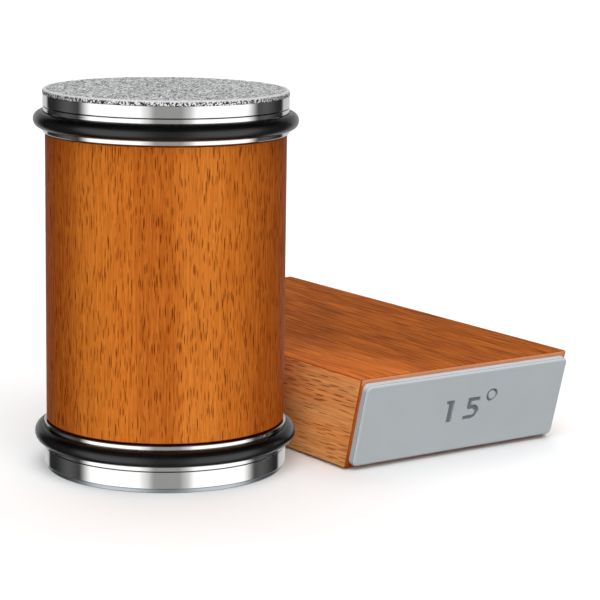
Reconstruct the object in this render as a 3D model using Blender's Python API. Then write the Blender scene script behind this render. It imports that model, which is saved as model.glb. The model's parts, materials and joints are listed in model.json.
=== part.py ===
"""Rolling knife sharpener set: a hand roller with two magnetic discs, and its magnetic angle block.

The roller stands on its honing disc, diamond disc up. Its grip stays still in the hand while the
axle, wheels and discs turn in two ball bearings. The angle block lies beside it, and holds a
blade at 15 degrees on its front end or at 20 degrees on its rear end.
"""

from math import acos, cos, degrees, pi, radians, sin, tan

import bmesh
import bpy

MM = 0.001

# Fits
SEAM = 0.1 * MM
RUNNING_GAP = 0.3 * MM
POCKET_GAP = 0.2 * MM

# Roller, outside
WHEEL_RADIUS = 25.0 * MM
WHEEL_WIDTH = 5.2 * MM
GRIP_RADIUS = 24.55 * MM
GRIP_LENGTH = 58.9 * MM
DISC_HEIGHT = 3.6 * MM
DIAMOND_PLATE_HEIGHT = 1.0 * MM
DIAMOND_RIM_ROUND = 0.6 * MM
HONING_PLATE_HEIGHT = 0.9 * MM
HONING_PLATE_RADIUS = 24.6 * MM
O_RING_RADIUS = 26.95 * MM
O_RING_CORD_RADIUS = 1.75 * MM
EDGE = 0.4 * MM
SMALL_EDGE = 0.15 * MM

# Roller, inside
LINER_RADIUS = 12.95 * MM
LINER_SHOULDER_RADIUS = 9.4 * MM
LINER_RECESS = 0.2 * MM
AXLE_RADIUS = 4.0 * MM
AXLE_SHOULDER = 0.2 * MM
AXLE_END = 3.1 * MM
AXLE_END_RADIUS = 3.0 * MM
AXLE_HOLE_DEPTH = 9.0 * MM
COLLAR_RADIUS = 5.6 * MM
SCREW_RADIUS = 2.0 * MM
SCREW_LENGTH = 8.0 * MM
SCREW_HEAD_RADIUS = 3.6 * MM
SCREW_HEAD_HEIGHT = 1.8 * MM
SCREW_SOCKET_RADIUS = 1.45 * MM
SCREW_SOCKET_DEPTH = 1.1 * MM
HUB_RECESS_RADIUS = 6.8 * MM
SPIGOT_INNER_RADIUS = 4.4 * MM
SPIGOT_LENGTH = 1.6 * MM
WHEEL_POCKET_DEPTH = 2.2 * MM
MAGNET_INNER_RADIUS = 9.6 * MM
MAGNET_OUTER_RADIUS = 15.4 * MM
MAGNET_HEIGHT = 2.0 * MM

# Ball bearings, 8 x 22 x 7 mm
BEARING_RADIUS = 11.0 * MM
BEARING_WIDTH = 7.0 * MM
BEARING_DEPTH = 5.7 * MM
BALL_COUNT = 7
BALL_RADIUS = 1.98 * MM
BALL_PITCH_RADIUS = 7.5 * MM
RACE_GROOVE_RADIUS = 2.15 * MM
OUTER_RACE_BORE = 9.0 * MM
INNER_RACE_RADIUS = 6.0 * MM
SHIELD_INNER_RADIUS = 6.3 * MM
SHIELD_OUTER_RADIUS = 8.8 * MM
SHIELD_THICKNESS = 0.4 * MM
SHIELD_INSET = 0.15 * MM
CAGE_INNER_RADIUS = 6.4 * MM
CAGE_OUTER_RADIUS = 8.6 * MM
CAGE_WEB = -2.6 * MM
CAGE_TIP = 0.6 * MM
CAGE_CLEARANCE = 0.2 * MM
CIRCLIP_WIDTH = 1.0 * MM
CIRCLIP_INNER_RADIUS = 9.6 * MM
CIRCLIP_OUTER_RADIUS = 11.65 * MM
CIRCLIP_LUG_RADIUS = 8.3 * MM
CIRCLIP_OPENING = 30
CIRCLIP_LUG_SPAN = 14

# Angle block
BLOCK_LENGTH = 105.0 * MM
BLOCK_WIDTH = 55.5 * MM
BLOCK_TOP = 20.2 * MM
WOOD_EDGE = 0.5 * MM
FRONT_ANGLE = radians(15)
REAR_ANGLE = radians(20)
MAT_PROUD = 0.3 * MM
MAT_THICKNESS = 1.0 * MM
MAT_BORDER = 5.0 * MM
MAT_CORNER = 3.0 * MM
PAD_PROUD = 1.6 * MM
PAD_SIDE_BORDER = 0.65 * MM
PAD_TOP_BORDER = 1.0 * MM
PAD_BOTTOM_BORDER = 0.95 * MM
PAD_EDGE = 0.6 * MM
PAD_CORNER = 1.3 * MM
POCKET_WIDTH = 44.0 * MM
POCKET_HEIGHT = 12.0 * MM
POCKET_DEPTH = 5.6 * MM
KEEPER_THICKNESS = 1.2 * MM
BAR_MAGNET_THICKNESS = 3.8 * MM

# Angle marks, let into the pads
MARK_DEPTH = 0.35 * MM
MARK_BOTTOM = -2.2 * MM
MARK_HEIGHT = 5.25 * MM
FIRST_DIGIT_LEFT = -4.9 * MM
SECOND_DIGIT_LEFT = 0.2 * MM
DEGREE_PLACE = (7.25 * MM, 3.0 * MM)
DEGREE_OUTER_RADIUS = 1.5 * MM
DEGREE_INNER_RADIUS = 0.95 * MM

# Places: the block's left side, its front top edge, and the roller's axis
BLOCK_LEFT = -0.45 * MM
BLOCK_FRONT = -52.45 * MM
ROLLER_PLACE = (-28.05 * MM, -21.35 * MM, 0.0)

# Segments of turned pieces
OUTER_STEPS = 40
INNER_STEPS = 28
SMALL_STEPS = 20

# Heights of the grip's two ends. Each end has its own frame there, its +Z pointing outward.
GRIP_LOW = HONING_PLATE_HEIGHT + DISC_HEIGHT + WHEEL_WIDTH + RUNNING_GAP
GRIP_HIGH = GRIP_LOW + GRIP_LENGTH
END_FRAMES = {
    "diamond": ((0.0, 0.0, GRIP_HIGH), (0.0, 0.0, 0.0)),
    "honing": ((0.0, 0.0, GRIP_LOW), (pi, 0.0, 0.0)),
}

# Heights in an end's frame
WHEEL_IN = RUNNING_GAP
WHEEL_OUT = WHEEL_IN + WHEEL_WIDTH
WHEEL_MIDDLE = (WHEEL_IN + WHEEL_OUT) / 2
WHEEL_POCKET_FLOOR = WHEEL_OUT - WHEEL_POCKET_DEPTH
CARRIER_IN = WHEEL_OUT + SEAM
BEARING_OUT = BEARING_WIDTH / 2 - BEARING_DEPTH
BEARING_IN = -BEARING_WIDTH / 2 - BEARING_DEPTH


# ---- Helpers -------------------------------------------------------------------------------


def remove_everything():
    for obj in list(bpy.data.objects):
        bpy.data.objects.remove(obj, do_unlink=True)


def material(name, colour, roughness, metallic=0.0):
    made = bpy.data.materials.new(name)
    made.use_nodes = True
    shader = made.node_tree.nodes["Principled BSDF"]
    shader.inputs["Base Color"].default_value = (*colour, 1.0)
    shader.inputs["Roughness"].default_value = roughness
    shader.inputs["Metallic"].default_value = metallic
    made.diffuse_color = (*colour, 1.0)
    return made


def frame_empty(name, location, rotation=(0.0, 0.0, 0.0), parent=None):
    empty = bpy.data.objects.new(name, None)
    empty.location = location
    empty.rotation_euler = rotation
    empty.parent = parent
    bpy.context.collection.objects.link(empty)
    return empty


def end_frame(end, body):
    """The frame of one end of the roller, riding on one of its bodies."""
    location, rotation = END_FRAMES[end]
    return frame_empty(f"{end}_end_of_{body.name}", location, rotation, body)


def mesh_object(solid, name, finish, parent, smooth):
    """Turns a bmesh into a named object under its parent."""
    bmesh.ops.recalc_face_normals(solid, faces=solid.faces)
    mesh = bpy.data.meshes.new(name)
    solid.to_mesh(mesh)
    solid.free()
    if smooth:
        mesh.shade_smooth()
        mesh.set_sharp_from_angle(angle=radians(35))
    if finish is not None:
        mesh.materials.append(finish)
    obj = bpy.data.objects.new(name, mesh)
    obj.parent = parent
    bpy.context.collection.objects.link(obj)
    return obj


def arc(centre, radius, start, end, steps):
    """Points on an arc from one angle to another, in degrees, both ends included."""
    angles = [radians(start + (end - start) * step / steps) for step in range(steps + 1)]
    return [(centre[0] + radius * cos(a), centre[1] + radius * sin(a)) for a in angles]


def turned(name, profile, steps, finish, parent):
    """A turned piece. Its (radius, height) points form a loop, or start and end on the axis."""
    solid = bmesh.new()
    points = [solid.verts.new((radius, 0.0, height)) for radius, height in profile]
    edges = [solid.edges.new(pair) for pair in zip(points, points[1:])]
    if profile[0][0] > 0.0:
        edges.append(solid.edges.new((points[-1], points[0])))
    bmesh.ops.spin(
        solid,
        geom=points + edges,
        cent=(0.0, 0.0, 0.0),
        axis=(0.0, 0.0, 1.0),
        angle=2 * pi,
        steps=steps,
        use_merge=True,
    )
    bmesh.ops.remove_doubles(solid, verts=solid.verts, dist=1e-7)
    return mesh_object(solid, name, finish, parent, smooth=True)


def tube(name, inner, outer, low, high, steps, finish, parent):
    profile = [(inner, low), (outer, low), (outer, high), (inner, high)]
    return turned(name, profile, steps, finish, parent)


def add_stack(solid, loops):
    """Adds a closed body through a row of matching closed loops, capped at both ends."""
    rings = [[solid.verts.new(point) for point in loop] for loop in loops]
    for low, high in zip(rings, rings[1:]):
        for index, corner in enumerate(low):
            following = (index + 1) % len(low)
            solid.faces.new((corner, low[following], high[following], high[index]))
    solid.faces.new(rings[0])
    solid.faces.new(rings[-1])


def stacked(name, loops, finish, parent, smooth=False):
    solid = bmesh.new()
    add_stack(solid, loops)
    return mesh_object(solid, name, finish, parent, smooth)


def box(name, low, high, finish, parent):
    outline = [(low[0], low[1]), (high[0], low[1]), (high[0], high[1]), (low[0], high[1])]
    return stacked(name, [[(x, y, z) for x, y in outline] for z in (low[2], high[2])], finish, parent)


def rounded_outline(width, height, corner, steps):
    """Round-cornered rectangle about the origin, counterclockwise."""
    across = width / 2 - corner
    up = height / 2 - corner
    outline = []
    for quarter, (side, level) in enumerate(((1, 1), (-1, 1), (-1, -1), (1, -1))):
        start = 90 * quarter
        outline += arc((side * across, level * up), corner, start, start + 90, steps)
    return outline


def cut(obj, cutter, name):
    """Takes the cutter out of the object, and keeps it as a hidden helper."""
    cutter.hide_render = True
    cutter.display_type = "WIRE"
    boolean = obj.modifiers.new(name, "BOOLEAN")
    boolean.operation = "DIFFERENCE"
    boolean.solver = "EXACT"
    boolean.object = cutter


# ---- Wheels, tyres, magnets and screws -----------------------------------------------------


def wheel(end, finish, parent):
    """Grooved wheel, with a pocket for the ring magnet and a recess for the disc's spigot."""
    groove_radius = O_RING_CORD_RADIUS + SEAM
    groove_centre = O_RING_RADIUS - O_RING_CORD_RADIUS
    mouth = degrees(acos((WHEEL_RADIUS - groove_centre) / groove_radius))
    bore = AXLE_END_RADIUS + SEAM
    pocket_in = MAGNET_INNER_RADIUS - POCKET_GAP
    pocket_out = MAGNET_OUTER_RADIUS + POCKET_GAP
    profile = [
        (bore, WHEEL_IN),
        (WHEEL_RADIUS - EDGE, WHEEL_IN),
        (WHEEL_RADIUS, WHEEL_IN + EDGE),
        *arc((groove_centre, WHEEL_MIDDLE), groove_radius, 360 - mouth, mouth, 4),
        (WHEEL_RADIUS, WHEEL_OUT - SMALL_EDGE),
        (WHEEL_RADIUS - SMALL_EDGE, WHEEL_OUT),
        (pocket_out, WHEEL_OUT),
        (pocket_out, WHEEL_POCKET_FLOOR),
        (pocket_in, WHEEL_POCKET_FLOOR),
        (pocket_in, WHEEL_OUT),
        (HUB_RECESS_RADIUS, WHEEL_OUT),
        (HUB_RECESS_RADIUS, WHEEL_POCKET_FLOOR),
        (bore, WHEEL_POCKET_FLOOR),
    ]
    turned(f"{end}_end_wheel", profile, OUTER_STEPS, finish, parent)


def o_ring(end, finish, parent):
    centre = (O_RING_RADIUS - O_RING_CORD_RADIUS, WHEEL_MIDDLE)
    profile = arc(centre, O_RING_CORD_RADIUS, 0, 360, 10)[:-1]
    turned(f"{end}_end_o_ring", profile, OUTER_STEPS, finish, parent)


def ring_magnet(end, finish, parent):
    low = WHEEL_POCKET_FLOOR + SEAM
    high = low + MAGNET_HEIGHT
    name = f"{end}_end_ring_magnet"
    tube(name, MAGNET_INNER_RADIUS, MAGNET_OUTER_RADIUS, low, high, INNER_STEPS, finish, parent)


def wheel_screw(end, finish, parent):
    """Cap screw with a hexagon socket, from the wheel's recess into the axle."""
    head_low = WHEEL_POCKET_FLOOR + SEAM
    head_high = head_low + SCREW_HEAD_HEIGHT
    tip = head_low - SCREW_LENGTH
    profile = [
        (0.0, tip),
        (SCREW_RADIUS, tip),
        (SCREW_RADIUS, head_low),
        (SCREW_HEAD_RADIUS, head_low),
        (SCREW_HEAD_RADIUS, head_high - EDGE),
        (SCREW_HEAD_RADIUS - EDGE, head_high),
        (0.0, head_high),
    ]
    screw = turned(f"{end}_end_wheel_screw", profile, SMALL_STEPS, finish, parent)
    hexagon = arc((0.0, 0.0), SCREW_SOCKET_RADIUS, 0, 360, 6)[:-1]
    levels = (head_high - SCREW_SOCKET_DEPTH, head_high + EDGE)
    loops = [[(x, y, level) for x, y in hexagon] for level in levels]
    cut(screw, stacked(f"{end}_end_hexagon_cutter", loops, None, parent), "hexagon_socket")


def axle(finish, parent):
    """Rod with a shoulder and a tapped hole at each end."""
    hole_radius = SCREW_RADIUS + SEAM
    profile = []
    for outward, grip_end in ((-1, GRIP_LOW), (1, GRIP_HIGH)):
        end = grip_end + outward * AXLE_END
        shoulder = grip_end + outward * AXLE_SHOULDER
        half = [
            (0.0, end - outward * AXLE_HOLE_DEPTH),
            (hole_radius, end - outward * AXLE_HOLE_DEPTH),
            (hole_radius, end),
            (AXLE_END_RADIUS, end),
            (AXLE_END_RADIUS, shoulder),
            (AXLE_RADIUS, shoulder),
        ]
        profile += half[::-outward]
    turned("axle", profile, SMALL_STEPS, finish, parent)


# ---- Ball bearings -------------------------------------------------------------------------


def outer_race(end, finish, parent):
    shoulder = OUTER_RACE_BORE - BALL_PITCH_RADIUS
    mouth = degrees(acos(shoulder / RACE_GROOVE_RADIUS))
    profile = [
        (OUTER_RACE_BORE, BEARING_IN),
        (BEARING_RADIUS, BEARING_IN),
        (BEARING_RADIUS, BEARING_OUT),
        (OUTER_RACE_BORE, BEARING_OUT),
        *arc((BALL_PITCH_RADIUS, -BEARING_DEPTH), RACE_GROOVE_RADIUS, mouth, -mouth, 4),
    ]
    turned(f"{end}_end_outer_race", profile, INNER_STEPS, finish, parent)


def inner_race(end, finish, parent):
    bore = AXLE_RADIUS + SEAM
    shoulder = BALL_PITCH_RADIUS - INNER_RACE_RADIUS
    mouth = degrees(acos(shoulder / RACE_GROOVE_RADIUS))
    centre = (BALL_PITCH_RADIUS, -BEARING_DEPTH)
    profile = [
        (bore, BEARING_OUT),
        (bore, BEARING_IN),
        (INNER_RACE_RADIUS, BEARING_IN),
        *arc(centre, RACE_GROOVE_RADIUS, 180 + mouth, 180 - mouth, 4),
        (INNER_RACE_RADIUS, BEARING_OUT),
    ]
    turned(f"{end}_end_inner_race", profile, SMALL_STEPS, finish, parent)


def shields(end, finish, parent):
    """Two dust shields, pressed into the outer race's faces."""
    outer_low = BEARING_OUT - SHIELD_INSET - SHIELD_THICKNESS
    inner_low = BEARING_IN + SHIELD_INSET
    for place, low in (("outer", outer_low), ("inner", inner_low)):
        name = f"{end}_end_{place}_shield"
        high = low + SHIELD_THICKNESS
        tube(name, SHIELD_INNER_RADIUS, SHIELD_OUTER_RADIUS, low, high, SMALL_STEPS, finish, parent)


def circlip(end, finish, parent):
    """Open spring ring with a lug on each side of its opening."""
    half_gap = CIRCLIP_OPENING / 2
    lug = half_gap + CIRCLIP_LUG_SPAN
    centre = (0.0, 0.0)
    outline = arc(centre, CIRCLIP_OUTER_RADIUS, half_gap, 360 - half_gap, 24)
    outline += arc(centre, CIRCLIP_LUG_RADIUS, 360 - half_gap, 360 - lug, 2)
    outline += arc(centre, CIRCLIP_INNER_RADIUS, 360 - lug, lug, 20)
    outline += arc(centre, CIRCLIP_LUG_RADIUS, lug, half_gap, 2)
    low = BEARING_OUT + SEAM
    loops = [[(x, y, level) for x, y in outline] for level in (low, low + CIRCLIP_WIDTH)]
    stacked(f"{end}_end_circlip", loops, finish, parent)


def ball_mesh(name, radius, places, finish):
    """One mesh of balls, each turned to face the roller's axis."""
    solid = bmesh.new()
    for angle in places:
        made = bmesh.ops.create_icosphere(solid, subdivisions=2, radius=radius)
        bmesh.ops.translate(solid, verts=made["verts"], vec=(BALL_PITCH_RADIUS, 0.0, 0.0))
        for vert in made["verts"]:
            x, y = vert.co.x, vert.co.y
            vert.co.x = x * cos(angle) - y * sin(angle)
            vert.co.y = x * sin(angle) + y * cos(angle)
    bmesh.ops.recalc_face_normals(solid, faces=solid.faces)
    mesh = bpy.data.meshes.new(name)
    solid.to_mesh(mesh)
    solid.free()
    mesh.shade_smooth()
    if finish is not None:
        mesh.materials.append(finish)
    return mesh


def ball_set(end, ball_finish, cage_finish, parent):
    """Cage with its balls. Each ball's origin is on the roller's axis, at the balls' height."""
    turns = [2 * pi * index / BALL_COUNT for index in range(BALL_COUNT)]
    centre = (0.0, 0.0, -BEARING_DEPTH)
    shared = ball_mesh("bearing_ball", BALL_RADIUS, [0.0], ball_finish)
    for index, angle in enumerate(turns, 1):
        ball = bpy.data.objects.new(f"{end}_end_ball_{index}", shared)
        ball.location = centre
        ball.rotation_euler = (0.0, 0.0, angle)
        ball.parent = parent
        bpy.context.collection.objects.link(ball)
    name = f"{end}_end_cage"
    radii = (CAGE_INNER_RADIUS, CAGE_OUTER_RADIUS)
    cage = tube(name, *radii, CAGE_WEB, CAGE_TIP, INNER_STEPS, cage_finish, parent)
    cage.location = centre
    pockets = ball_mesh(f"{end}_end_pockets", BALL_RADIUS + CAGE_CLEARANCE, turns, None)
    cutter = bpy.data.objects.new(f"{end}_end_pocket_cutter", pockets)
    cutter.location = centre
    cutter.parent = parent
    bpy.context.collection.objects.link(cutter)
    cut(cage, cutter, "ball_pockets")


# ---- Grip ----------------------------------------------------------------------------------


def grip_barrel(finish, parent):
    bore = LINER_RADIUS + SEAM
    profile = [
        (bore, GRIP_LOW),
        (GRIP_RADIUS - EDGE, GRIP_LOW),
        (GRIP_RADIUS, GRIP_LOW + EDGE),
        (GRIP_RADIUS, GRIP_HIGH - EDGE),
        (GRIP_RADIUS - EDGE, GRIP_HIGH),
        (bore, GRIP_HIGH),
    ]
    turned("grip_barrel", profile, OUTER_STEPS, finish, parent)


def barrel_liner(finish, parent):
    """Metal tube with a bearing seat, a shoulder and a circlip groove at each end."""
    seat = BEARING_RADIUS + SEAM
    groove = CIRCLIP_OUTER_RADIUS + POCKET_GAP
    groove_out = BEARING_OUT + POCKET_GAP + CIRCLIP_WIDTH
    end_profile = [
        (LINER_RADIUS, -LINER_RECESS),
        (seat, -LINER_RECESS),
        (seat, groove_out),
        (groove, groove_out),
        (groove, BEARING_OUT),
        (seat, BEARING_OUT),
        (seat, BEARING_IN - SEAM),
        (LINER_SHOULDER_RADIUS, BEARING_IN - SEAM),
    ]
    profile = [(radius, GRIP_HIGH + height) for radius, height in end_profile]
    profile += [(radius, GRIP_LOW - height) for radius, height in reversed(end_profile)]
    turned("barrel_liner", profile, INNER_STEPS, finish, parent)


# ---- Discs ---------------------------------------------------------------------------------


def carrier(name, plate_height, finish, parent):
    """Polished disc under a plate, with a spigot that centres it in the wheel's recess."""
    top = WHEEL_OUT + DISC_HEIGHT - plate_height
    spigot_outer = HUB_RECESS_RADIUS - POCKET_GAP
    profile = [
        (0.0, CARRIER_IN),
        (SPIGOT_INNER_RADIUS, CARRIER_IN),
        (SPIGOT_INNER_RADIUS, CARRIER_IN - SPIGOT_LENGTH),
        (spigot_outer, CARRIER_IN - SPIGOT_LENGTH),
        (spigot_outer, CARRIER_IN),
        (WHEEL_RADIUS - SMALL_EDGE, CARRIER_IN),
        (WHEEL_RADIUS, CARRIER_IN + SMALL_EDGE),
        (WHEEL_RADIUS, top - SMALL_EDGE),
        (WHEEL_RADIUS - SMALL_EDGE, top),
        (0.0, top),
    ]
    turned(name, profile, OUTER_STEPS, finish, parent)


def diamond_plate(finish, parent):
    """Grit-faced plate, its rim rounded over."""
    top = WHEEL_OUT + DISC_HEIGHT
    low = top - DIAMOND_PLATE_HEIGHT + SEAM
    rim = (WHEEL_RADIUS - DIAMOND_RIM_ROUND, top - DIAMOND_RIM_ROUND)
    profile = [(0.0, low), (WHEEL_RADIUS, low), *arc(rim, DIAMOND_RIM_ROUND, 0, 90, 3), (0.0, top)]
    turned("diamond_plate", profile, OUTER_STEPS, finish, parent)


def honing_plate(finish, parent):
    low = WHEEL_OUT + DISC_HEIGHT + SEAM
    top = WHEEL_OUT + DISC_HEIGHT + HONING_PLATE_HEIGHT
    profile = [
        (0.0, low),
        (HONING_PLATE_RADIUS, low),
        (HONING_PLATE_RADIUS, top - SMALL_EDGE),
        (HONING_PLATE_RADIUS - SMALL_EDGE, top),
        (0.0, top),
    ]
    turned("honing_plate", profile, OUTER_STEPS, finish, parent)


def roller(finishes):
    steel = finishes["steel"]
    wheelset = frame_empty("wheelset", ROLLER_PLACE)
    grip = frame_empty("grip", ROLLER_PLACE)
    axle(steel, wheelset)
    spacer_low = GRIP_LOW - BEARING_IN + SEAM
    spacer_high = GRIP_HIGH + BEARING_IN - SEAM
    spacer_radii = (AXLE_RADIUS + SEAM, INNER_RACE_RADIUS)
    spacer_finish = finishes["aluminium"]
    tube("race_spacer", *spacer_radii, spacer_low, spacer_high, SMALL_STEPS, spacer_finish, wheelset)
    grip_barrel(finishes["barrel_wood"], grip)
    barrel_liner(finishes["aluminium"], grip)
    for end in END_FRAMES:
        turning = end_frame(end, wheelset)
        wheel(end, finishes["polished_steel"], turning)
        o_ring(end, finishes["rubber"], turning)
        ring_magnet(end, finishes["magnet"], turning)
        wheel_screw(end, steel, turning)
        collar_radii = (AXLE_RADIUS + SEAM, COLLAR_RADIUS)
        collar_heights = (BEARING_OUT + SEAM, AXLE_SHOULDER)
        tube(f"{end}_end_collar", *collar_radii, *collar_heights, SMALL_STEPS, steel, turning)
        inner_race(end, steel, turning)
        still = end_frame(end, grip)
        outer_race(end, steel, still)
        shields(end, steel, still)
        circlip(end, steel, still)
        balls = frame_empty(f"{end}_end_balls", ROLLER_PLACE)
        ball_set(end, finishes["polished_steel"], finishes["cage"], end_frame(end, balls))
    diamond_disc = end_frame("diamond", frame_empty("diamond_disc", ROLLER_PLACE))
    carrier("diamond_carrier", DIAMOND_PLATE_HEIGHT, finishes["polished_steel"], diamond_disc)
    diamond_plate(finishes["diamond_grit"], diamond_disc)
    honing_disc = end_frame("honing", frame_empty("honing_disc", ROLLER_PLACE))
    carrier("honing_carrier", 0.0, finishes["polished_steel"], honing_disc)
    honing_plate(finishes["honing_steel"], honing_disc)


# ---- Angle marks ---------------------------------------------------------------------------
# Each digit is 5.25 mm high, and starts at its own left bottom corner.


def digit_one():
    return [(0.7, 0.0), (2.1, 0.0), (2.1, 5.25), (0.0, 5.25), (0.0, 4.35), (0.7, 4.35)]


def digit_five():
    centre = (2.35, 1.75)
    outline = [(0.72, 5.25), (4.0, 5.25), (4.0, 4.2), (1.75, 4.2), (1.75, 3.39)]
    outline += arc(centre, 1.75, 107, -98, 12)
    outline += [(0.05, 0.12), (0.0, 1.05)]
    outline += arc(centre, 0.65, -98, 125, 10)
    return outline + [(0.72, 2.6)]


def digit_two():
    centre = (1.95, 3.5)
    outline = [(0.0, 0.0), (3.9, 0.0), (3.9, 0.9), (1.55, 0.9)]
    outline += arc(centre, 1.75, -42, 172, 12)
    outline += arc(centre, 0.78, 172, -42, 10)
    return outline + [(0.0, 0.95)]


def oval(centre, across, up, steps):
    turns = [2 * pi * step / steps for step in range(steps)]
    return [(centre[0] + across * cos(a), centre[1] + up * sin(a)) for a in turns]


def add_prism(solid, outline, low, high):
    """Adds an upright prism whose outline lies in X and Z, between two Y levels."""
    add_stack(solid, [[(x, level, z) for x, z in outline] for level in (low, high)])


def add_ring_prism(solid, outer, inner, low, high):
    """Adds a prism with a hole, from two outlines with the same number of points."""
    loops = []
    for outline, level in ((outer, low), (outer, high), (inner, high), (inner, low)):
        loops.append([solid.verts.new((x, level, z)) for x, z in outline])
    for first, second in zip(loops, loops[1:] + loops[:1]):
        for index, corner in enumerate(first):
            following = (index + 1) % len(first)
            solid.faces.new((corner, first[following], second[following], second[index]))


def mark_cutter(name, digits, parent):
    """The digits and the degree sign, standing through a pad's face."""
    low = -PAD_PROUD - SEAM
    high = -PAD_PROUD + MARK_DEPTH
    solid = bmesh.new()
    for digit, left in zip(digits, (FIRST_DIGIT_LEFT, SECOND_DIGIT_LEFT)):
        if digit == "0":
            centre = (left + 1.95 * MM, MARK_BOTTOM + MARK_HEIGHT / 2)
            outer = oval(centre, 1.95 * MM, MARK_HEIGHT / 2, 20)
            inner = oval(centre, 1.0 * MM, MARK_HEIGHT / 2 - 0.95 * MM, 20)
            add_ring_prism(solid, outer, inner, low, high)
            continue
        shape = {"1": digit_one, "2": digit_two, "5": digit_five}[digit]()
        outline = [(left + x * MM, MARK_BOTTOM + z * MM) for x, z in shape]
        add_prism(solid, outline, low, high)
    outer = oval(DEGREE_PLACE, DEGREE_OUTER_RADIUS, DEGREE_OUTER_RADIUS, 20)
    inner = oval(DEGREE_PLACE, DEGREE_INNER_RADIUS, DEGREE_INNER_RADIUS, 20)
    add_ring_prism(solid, outer, inner, low, high)
    return mesh_object(solid, name, None, parent, smooth=False)


# ---- Angle block ---------------------------------------------------------------------------


def pad(name, digits, face_height, finish, parent):
    """Raised pad with rounded edges. It lies on the face's frame, outward along -Y."""
    width = BLOCK_WIDTH - 2 * PAD_SIDE_BORDER
    height = face_height - PAD_TOP_BORDER - PAD_BOTTOM_BORDER
    middle = (PAD_BOTTOM_BORDER - PAD_TOP_BORDER) / 2
    levels = [(0.0, -SEAM)]
    for lift in (0, 30, 60, 90):
        inset = PAD_EDGE * (1 - cos(radians(lift)))
        levels.append((inset, PAD_EDGE * (1 - sin(radians(lift))) - PAD_PROUD))
    loops = []
    for inset, level in levels:
        outline = rounded_outline(width - 2 * inset, height - 2 * inset, PAD_CORNER - inset, 4)
        loops.append([(x, level, middle + z) for x, z in outline])
    made = stacked(name, loops, finish, parent, smooth=True)
    cut(made, mark_cutter(f"{name}_mark_cutter", digits, parent), "angle_mark")


def pocket_parts(angle_name, finishes, parent):
    """Steel keeper at the pocket's floor, with two bar magnets in front of it."""
    half_width = POCKET_WIDTH / 2 - POCKET_GAP
    half_height = POCKET_HEIGHT / 2 - POCKET_GAP
    keeper_back = POCKET_DEPTH - POCKET_GAP
    keeper_front = keeper_back - KEEPER_THICKNESS
    low = (-half_width, keeper_front, -half_height)
    high = (half_width, keeper_back, half_height)
    box(f"keeper_{angle_name}", low, high, finishes["steel"], parent)
    magnet_back = keeper_front - POCKET_GAP
    magnet_front = magnet_back - BAR_MAGNET_THICKNESS
    half_gap = POCKET_GAP / 2
    for side, left, right in (("left", -half_width, -half_gap), ("right", half_gap, half_width)):
        low = (left, magnet_front, -half_height)
        high = (right, magnet_back, half_height)
        magnet = box(f"magnet_{angle_name}_{side}", low, high, finishes["magnet"], parent)
        bevel = magnet.modifiers.new("ground_edges", "BEVEL")
        bevel.width = EDGE
        bevel.segments = 1


def pocket_cutter(angle_name, parent):
    low = (-POCKET_WIDTH / 2, -EDGE, -POCKET_HEIGHT / 2)
    high = (POCKET_WIDTH / 2, POCKET_DEPTH, POCKET_HEIGHT / 2)
    return box(f"pocket_{angle_name}_cutter", low, high, None, parent)


def base_mat(front, rear, finish, parent, wood):
    """Anti-slip sheet let into the underside, standing a little proud of it."""
    width = BLOCK_WIDTH - 2 * MAT_BORDER
    length = rear - front - 2 * MAT_BORDER
    middle = (BLOCK_LEFT + BLOCK_WIDTH / 2, (front + rear) / 2)

    def loops(grown, heights):
        outline = rounded_outline(width + 2 * grown, length + 2 * grown, MAT_CORNER + grown, 4)
        return [[(middle[0] + x, middle[1] + y, height) for x, y in outline] for height in heights]

    stacked("base_mat", loops(0.0, (0.0, MAT_THICKNESS)), finish, parent)
    recess = (MAT_PROUD - EDGE, MAT_THICKNESS + POCKET_GAP)
    cut(wood, stacked("mat_recess_cutter", loops(POCKET_GAP, recess), None, parent), "mat_recess")


def angle_block(finishes):
    """Wood body, undercut by 15 degrees at the front and by 20 degrees at the rear."""
    body = frame_empty("angle_block_body", (0.0, 0.0, 0.0))
    wood_height = BLOCK_TOP - MAT_PROUD
    rear_top = BLOCK_FRONT + BLOCK_LENGTH
    front_base = BLOCK_FRONT + wood_height * tan(FRONT_ANGLE)
    rear_base = rear_top - wood_height * tan(REAR_ANGLE)
    side = [
        (BLOCK_FRONT, BLOCK_TOP),
        (front_base, MAT_PROUD),
        (rear_base, MAT_PROUD),
        (rear_top, BLOCK_TOP),
    ]
    loops = [[(x, y, z) for y, z in side] for x in (BLOCK_LEFT, BLOCK_LEFT + BLOCK_WIDTH)]
    wood = stacked("angle_block", loops, finishes["block_wood"], body)
    bevel = wood.modifiers.new("soft_edges", "BEVEL")
    bevel.width = WOOD_EDGE
    bevel.segments = 2

    across = BLOCK_LEFT + BLOCK_WIDTH / 2
    middle_height = MAT_PROUD + wood_height / 2
    front_middle = (across, (BLOCK_FRONT + front_base) / 2, middle_height)
    rear_middle = (across, (rear_top + rear_base) / 2, middle_height)
    faces = (
        ("15", FRONT_ANGLE, front_middle, (FRONT_ANGLE, 0.0, 0.0)),
        ("20", REAR_ANGLE, rear_middle, (REAR_ANGLE, 0.0, pi)),
    )
    for angle_name, angle, middle, rotation in faces:
        face = frame_empty(f"face_{angle_name}", middle, rotation, body)
        pad(f"pad_{angle_name}", angle_name, wood_height / cos(angle), finishes["pad"], face)
        pocket_parts(angle_name, finishes, face)
        cut(wood, pocket_cutter(angle_name, face), f"pocket_{angle_name}")
    base_mat(front_base, rear_base, finishes["mat"], body, wood)


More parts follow.
